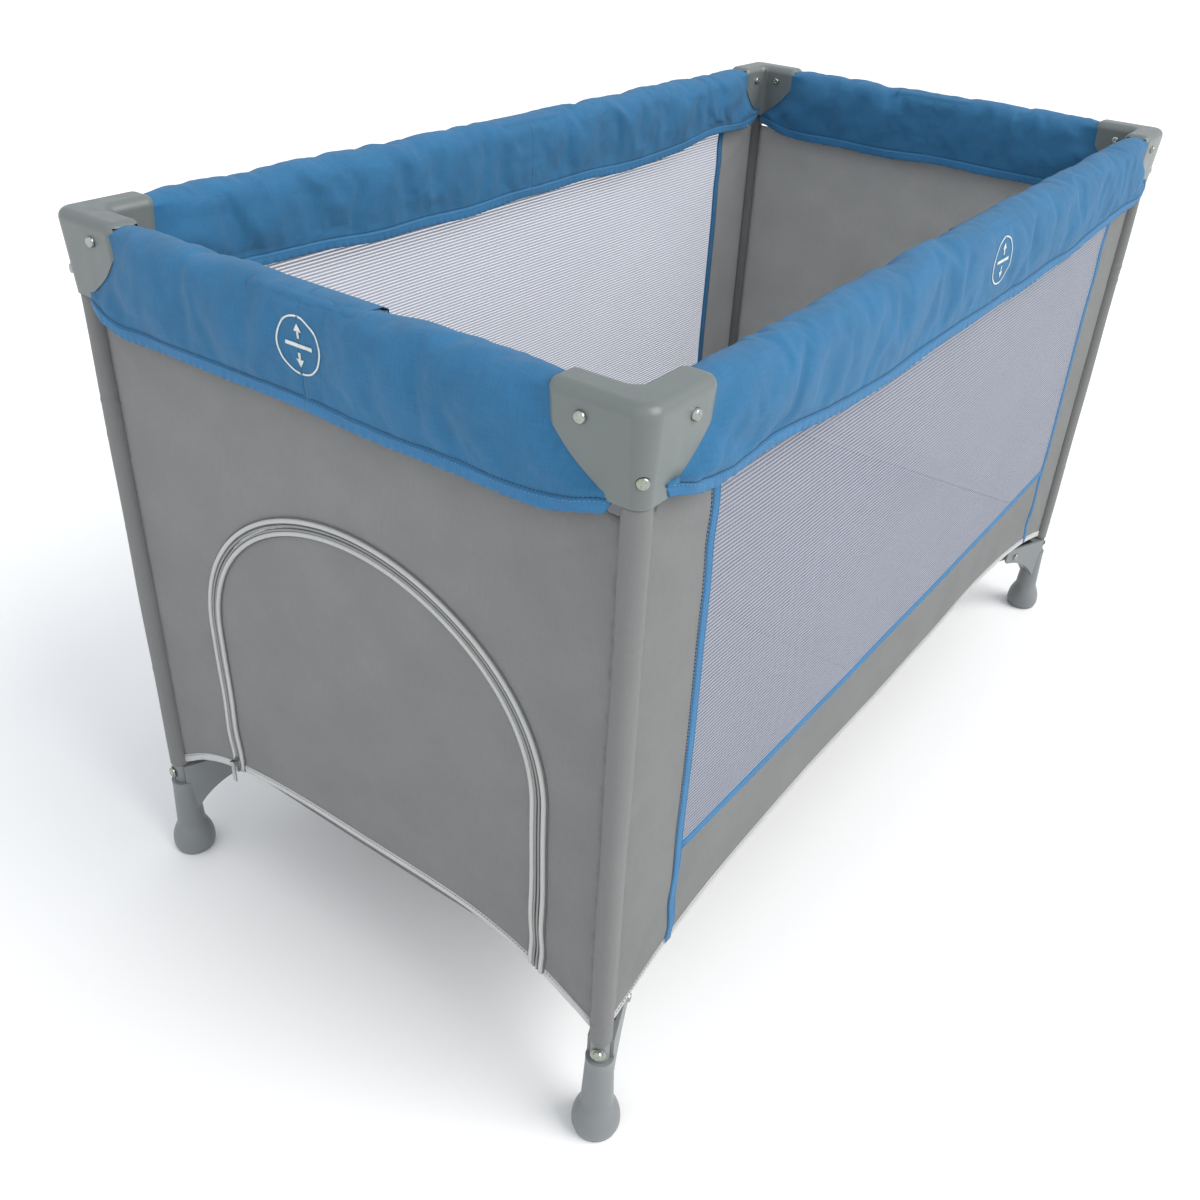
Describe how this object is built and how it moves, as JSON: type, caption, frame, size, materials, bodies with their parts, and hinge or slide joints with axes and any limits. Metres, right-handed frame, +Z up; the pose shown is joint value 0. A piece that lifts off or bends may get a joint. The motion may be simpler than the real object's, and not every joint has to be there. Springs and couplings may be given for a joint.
{
  "type": "folding playpen",
  "caption": "Folding travel cot and playpen: steel frame with hinged rails and a centre hub, padded rail covers, fabric walls, mesh windows and a zipped door.",
  "frame": {"origin": "on the floor, under the centre of the playpen", "axes": "+Z up, X along the long side with the zipped door at -X, Y along the short side"},
  "size_m": [1.2374, 0.6474, 0.76],
  "materials": {
    "grey_cloth": "woven polyester",
    "blue_cloth": "heathered woven polyester over foam",
    "mesh": "knitted mesh",
    "cap_plastic": "moulded, satin",
    "foot_plastic": "moulded, satin",
    "lock_plastic": "moulded",
    "button_plastic": "moulded",
    "steel_tube": "powder coated",
    "screw_steel": "zinc plated",
    "mat_cloth": "quilted",
    "webbing": "woven webbing",
    "zip_tape": "zip tape",
    "zip_metal": "plated"
  },
  "bodies": {
    "leg_fl": {"leg_tube_fl": "steel_tube", "corner_cap_fl": "cap_plastic", "foot_fl": "foot_plastic", "leg_fasteners_fl": "screw_steel", "wall_front": "grey_cloth", "mesh_front": "mesh", "wall_left": "grey_cloth", "zip_track": "zip_tape"},
    "tube_fl": {"bottom_tube_fl": "steel_tube"},
    "leg_fr": {"leg_tube_fr": "steel_tube", "corner_cap_fr": "cap_plastic", "foot_fr": "foot_plastic", "leg_fasteners_fr": "screw_steel", "wall_right": "grey_cloth"},
    "tube_fr": {"bottom_tube_fr": "steel_tube"},
    "leg_bl": {"leg_tube_bl": "steel_tube", "corner_cap_bl": "cap_plastic", "foot_bl": "foot_plastic", "leg_fasteners_bl": "screw_steel", "wall_back": "grey_cloth", "mesh_back": "mesh"},
    "tube_bl": {"bottom_tube_bl": "steel_tube"},
    "leg_br": {"leg_tube_br": "steel_tube", "corner_cap_br": "cap_plastic", "foot_br": "foot_plastic", "leg_fasteners_br": "screw_steel"},
    "tube_br": {"bottom_tube_br": "steel_tube"},
    "hub": {"hub_housing": "lock_plastic", "hub_rivets": "screw_steel", "pull_strap": "webbing", "floor_panel": "grey_cloth"},
    "half_front_left": {"rail_front_left": "steel_tube", "cover_front_left": "blue_cloth"},
    "half_front_right": {"rail_front_right": "steel_tube", "cover_front_right": "blue_cloth"},
    "lock_front": {"lock_front": "lock_plastic"},
    "button_front": {"button_front": "button_plastic"},
    "half_back_left": {"rail_back_left": "steel_tube", "cover_back_left": "blue_cloth"},
    "half_back_right": {"rail_back_right": "steel_tube", "cover_back_right": "blue_cloth"},
    "lock_back": {"lock_back": "lock_plastic"},
    "button_back": {"button_back": "button_plastic"},
    "half_left_front": {"rail_left_front": "steel_tube", "cover_left_front": "blue_cloth"},
    "half_left_back": {"rail_left_back": "steel_tube", "cover_left_back": "blue_cloth"},
    "lock_left": {"lock_left": "lock_plastic"},
    "button_left": {"button_left": "button_plastic"},
    "half_right_front": {"rail_right_front": "steel_tube", "cover_right_front": "blue_cloth"},
    "half_right_back": {"rail_right_back": "steel_tube", "cover_right_back": "blue_cloth"},
    "lock_right": {"lock_right": "lock_plastic"},
    "button_right": {"button_right": "button_plastic"},
    "mat": {"mattress": "mat_cloth"},
    "door": {"door_flap": "grey_cloth"},
    "slider": {"zip_slider": "zip_metal"},
    "pull": {"zip_pull": "zip_metal"}
  },
  "joints": [
    {"name": "fold", "type": "hinge", "parent": "leg_fl", "child": "tube_fl", "pos_m": [-0.53803, -0.27554, 0.113], "axis": [0.3946, -0.9189, 0], "range_deg": [0, 82], "deforming": ["cover_front_left", "cover_front_right", "cover_back_left", "cover_back_right", "cover_left_front", "cover_left_back", "cover_right_front", "cover_right_back", "wall_front", "wall_back", "wall_left", "wall_right", "mesh_front", "mesh_back", "floor_panel", "zip_track", "door_flap", "mattress", "pull_strap"]},
    {"name": "hub_level", "type": "hinge", "parent": "tube_fl", "child": "hub", "pos_m": [-0.02103, -0.05354, 0.113], "axis": [0.3946, -0.9189, 0], "range_deg": [-82, 0]},
    {"name": "tube_fold_fr", "type": "hinge", "parent": "hub", "child": "tube_fr", "pos_m": [0.02103, -0.05354, 0.113], "axis": [0.3946, 0.9189, 0], "range_deg": [0, 82]},
    {"name": "leg_level_fr", "type": "hinge", "parent": "tube_fr", "child": "leg_fr", "pos_m": [0.53803, -0.27554, 0.113], "axis": [0.3946, 0.9189, 0], "range_deg": [-82, 0]},
    {"name": "tube_fold_bl", "type": "hinge", "parent": "hub", "child": "tube_bl", "pos_m": [-0.02103, 0.05354, 0.113], "axis": [-0.3946, -0.9189, 0], "range_deg": [0, 82]},
    {"name": "leg_level_bl", "type": "hinge", "parent": "tube_bl", "child": "leg_bl", "pos_m": [-0.53803, 0.27554, 0.113], "axis": [-0.3946, -0.9189, 0], "range_deg": [-82, 0]},
    {"name": "tube_fold_br", "type": "hinge", "parent": "hub", "child": "tube_br", "pos_m": [0.02103, 0.05354, 0.113], "axis": [-0.3946, 0.9189, 0], "range_deg": [0, 82]},
    {"name": "leg_level_br", "type": "hinge", "parent": "tube_br", "child": "leg_br", "pos_m": [0.53803, 0.27554, 0.113], "axis": [-0.3946, 0.9189, 0], "range_deg": [-82, 0]},
    {"name": "rail_fold_front_left", "type": "hinge", "parent": "leg_fl", "child": "half_front_left", "pos_m": [-0.557, -0.3, 0.74], "axis": [0, 1, 0], "range_deg": [0, 82]},
    {"name": "lock_level_front", "type": "hinge", "parent": "half_front_left", "child": "lock_front", "pos_m": [-0.04, -0.3, 0.74], "axis": [0, 1, 0], "range_deg": [-82, 0]},
    {"name": "rail_fold_front_right", "type": "hinge", "parent": "leg_fr", "child": "half_front_right", "pos_m": [0.557, -0.3, 0.74], "axis": [0, -1, 0], "range_deg": [0, 82]},
    {"name": "rail_fold_back_left", "type": "hinge", "parent": "leg_bl", "child": "half_back_left", "pos_m": [-0.557, 0.3, 0.74], "axis": [0, 1, 0], "range_deg": [0, 82]},
    {"name": "lock_level_back", "type": "hinge", "parent": "half_back_left", "child": "lock_back", "pos_m": [-0.04, 0.3, 0.74], "axis": [0, 1, 0], "range_deg": [-82, 0]},
    {"name": "rail_fold_back_right", "type": "hinge", "parent": "leg_br", "child": "half_back_right", "pos_m": [0.557, 0.3, 0.74], "axis": [0, -1, 0], "range_deg": [0, 82]},
    {"name": "rail_fold_left_front", "type": "hinge", "parent": "leg_fl", "child": "half_left_front", "pos_m": [-0.595, -0.262, 0.74], "axis": [-1, 0, 0], "range_deg": [0, 82]},
    {"name": "lock_level_left", "type": "hinge", "parent": "half_left_front", "child": "lock_left", "pos_m": [-0.595, -0.04, 0.74], "axis": [-1, 0, 0], "range_deg": [-82, 0]},
    {"name": "rail_fold_left_back", "type": "hinge", "parent": "leg_bl", "child": "half_left_back", "pos_m": [-0.595, 0.262, 0.74], "axis": [1, 0, 0], "range_deg": [0, 82]},
    {"name": "rail_fold_right_front", "type": "hinge", "parent": "leg_fr", "child": "half_right_front", "pos_m": [0.595, -0.262, 0.74], "axis": [-1, 0, 0], "range_deg": [0, 82]},
    {"name": "lock_level_right", "type": "hinge", "parent": "half_right_front", "child": "lock_right", "pos_m": [0.595, -0.04, 0.74], "axis": [-1, 0, 0], "range_deg": [-82, 0]},
    {"name": "rail_fold_right_back", "type": "hinge", "parent": "leg_br", "child": "half_right_back", "pos_m": [0.595, 0.262, 0.74], "axis": [1, 0, 0], "range_deg": [0, 82]},
    {"name": "press_front", "type": "slide", "parent": "lock_front", "child": "button_front", "axis": [0, 0, 1], "range_m": [0, 0.005], "stiffness_N_per_m": 300, "springref_m": -0.002},
    {"name": "press_back", "type": "slide", "parent": "lock_back", "child": "button_back", "axis": [0, 0, 1], "range_m": [0, 0.005], "stiffness_N_per_m": 300, "springref_m": -0.002},
    {"name": "press_left", "type": "slide", "parent": "lock_left", "child": "button_left", "axis": [0, 0, 1], "range_m": [0, 0.005], "stiffness_N_per_m": 300, "springref_m": -0.002},
    {"name": "press_right", "type": "slide", "parent": "lock_right", "child": "button_right", "axis": [0, 0, 1], "range_m": [0, 0.005], "stiffness_N_per_m": 300, "springref_m": -0.002},
    {"name": "mat_lift", "type": "slide", "parent": "hub", "child": "mat", "axis": [0, 0, 1], "range_m": [0, 0.145]},
    {"name": "zip_run", "type": "slide", "parent": "leg_fl", "child": "slider", "axis": [0, 0, 1], "range_m": [0, 0.18]},
    {"name": "pull_swing", "type": "hinge", "parent": "slider", "child": "pull", "pos_m": [-0.604, 0.185, 0.194], "axis": [0, 1, 0], "range_deg": [0, 165]},
    {"name": "door_open", "type": "hinge", "parent": "leg_fl", "child": "door", "pos_m": [-0.595, -0.02, 0.16], "axis": [0, -1, 0], "range_deg": [0, 100]}
  ],
  "couplings": [
    {"joint": "hub_level", "follows": "fold", "ratio": -1},
    {"joint": "tube_fold_fr", "follows": "fold", "ratio": 1},
    {"joint": "leg_level_fr", "follows": "fold", "ratio": -1},
    {"joint": "tube_fold_bl", "follows": "fold", "ratio": 1},
    {"joint": "leg_level_bl", "follows": "fold", "ratio": -1},
    {"joint": "tube_fold_br", "follows": "fold", "ratio": 1},
    {"joint": "leg_level_br", "follows": "fold", "ratio": -1},
    {"joint": "rail_fold_front_left", "follows": "fold", "ratio": 1},
    {"joint": "lock_level_front", "follows": "fold", "ratio": -1},
    {"joint": "rail_fold_front_right", "follows": "fold", "ratio": 1},
    {"joint": "rail_fold_back_left", "follows": "fold", "ratio": 1},
    {"joint": "lock_level_back", "follows": "fold", "ratio": -1},
    {"joint": "rail_fold_back_right", "follows": "fold", "ratio": 1},
    {"joint": "rail_fold_left_front", "follows": "fold", "ratio": 1},
    {"joint": "lock_level_left", "follows": "fold", "ratio": -1},
    {"joint": "rail_fold_left_back", "follows": "fold", "ratio": 1},
    {"joint": "rail_fold_right_front", "follows": "fold", "ratio": 1},
    {"joint": "lock_level_right", "follows": "fold", "ratio": -1},
    {"joint": "rail_fold_right_back", "follows": "fold", "ratio": 1},
    {"joint": "mat_lift", "follows": "fold", "m_per_rad": 0.1}
  ]
}
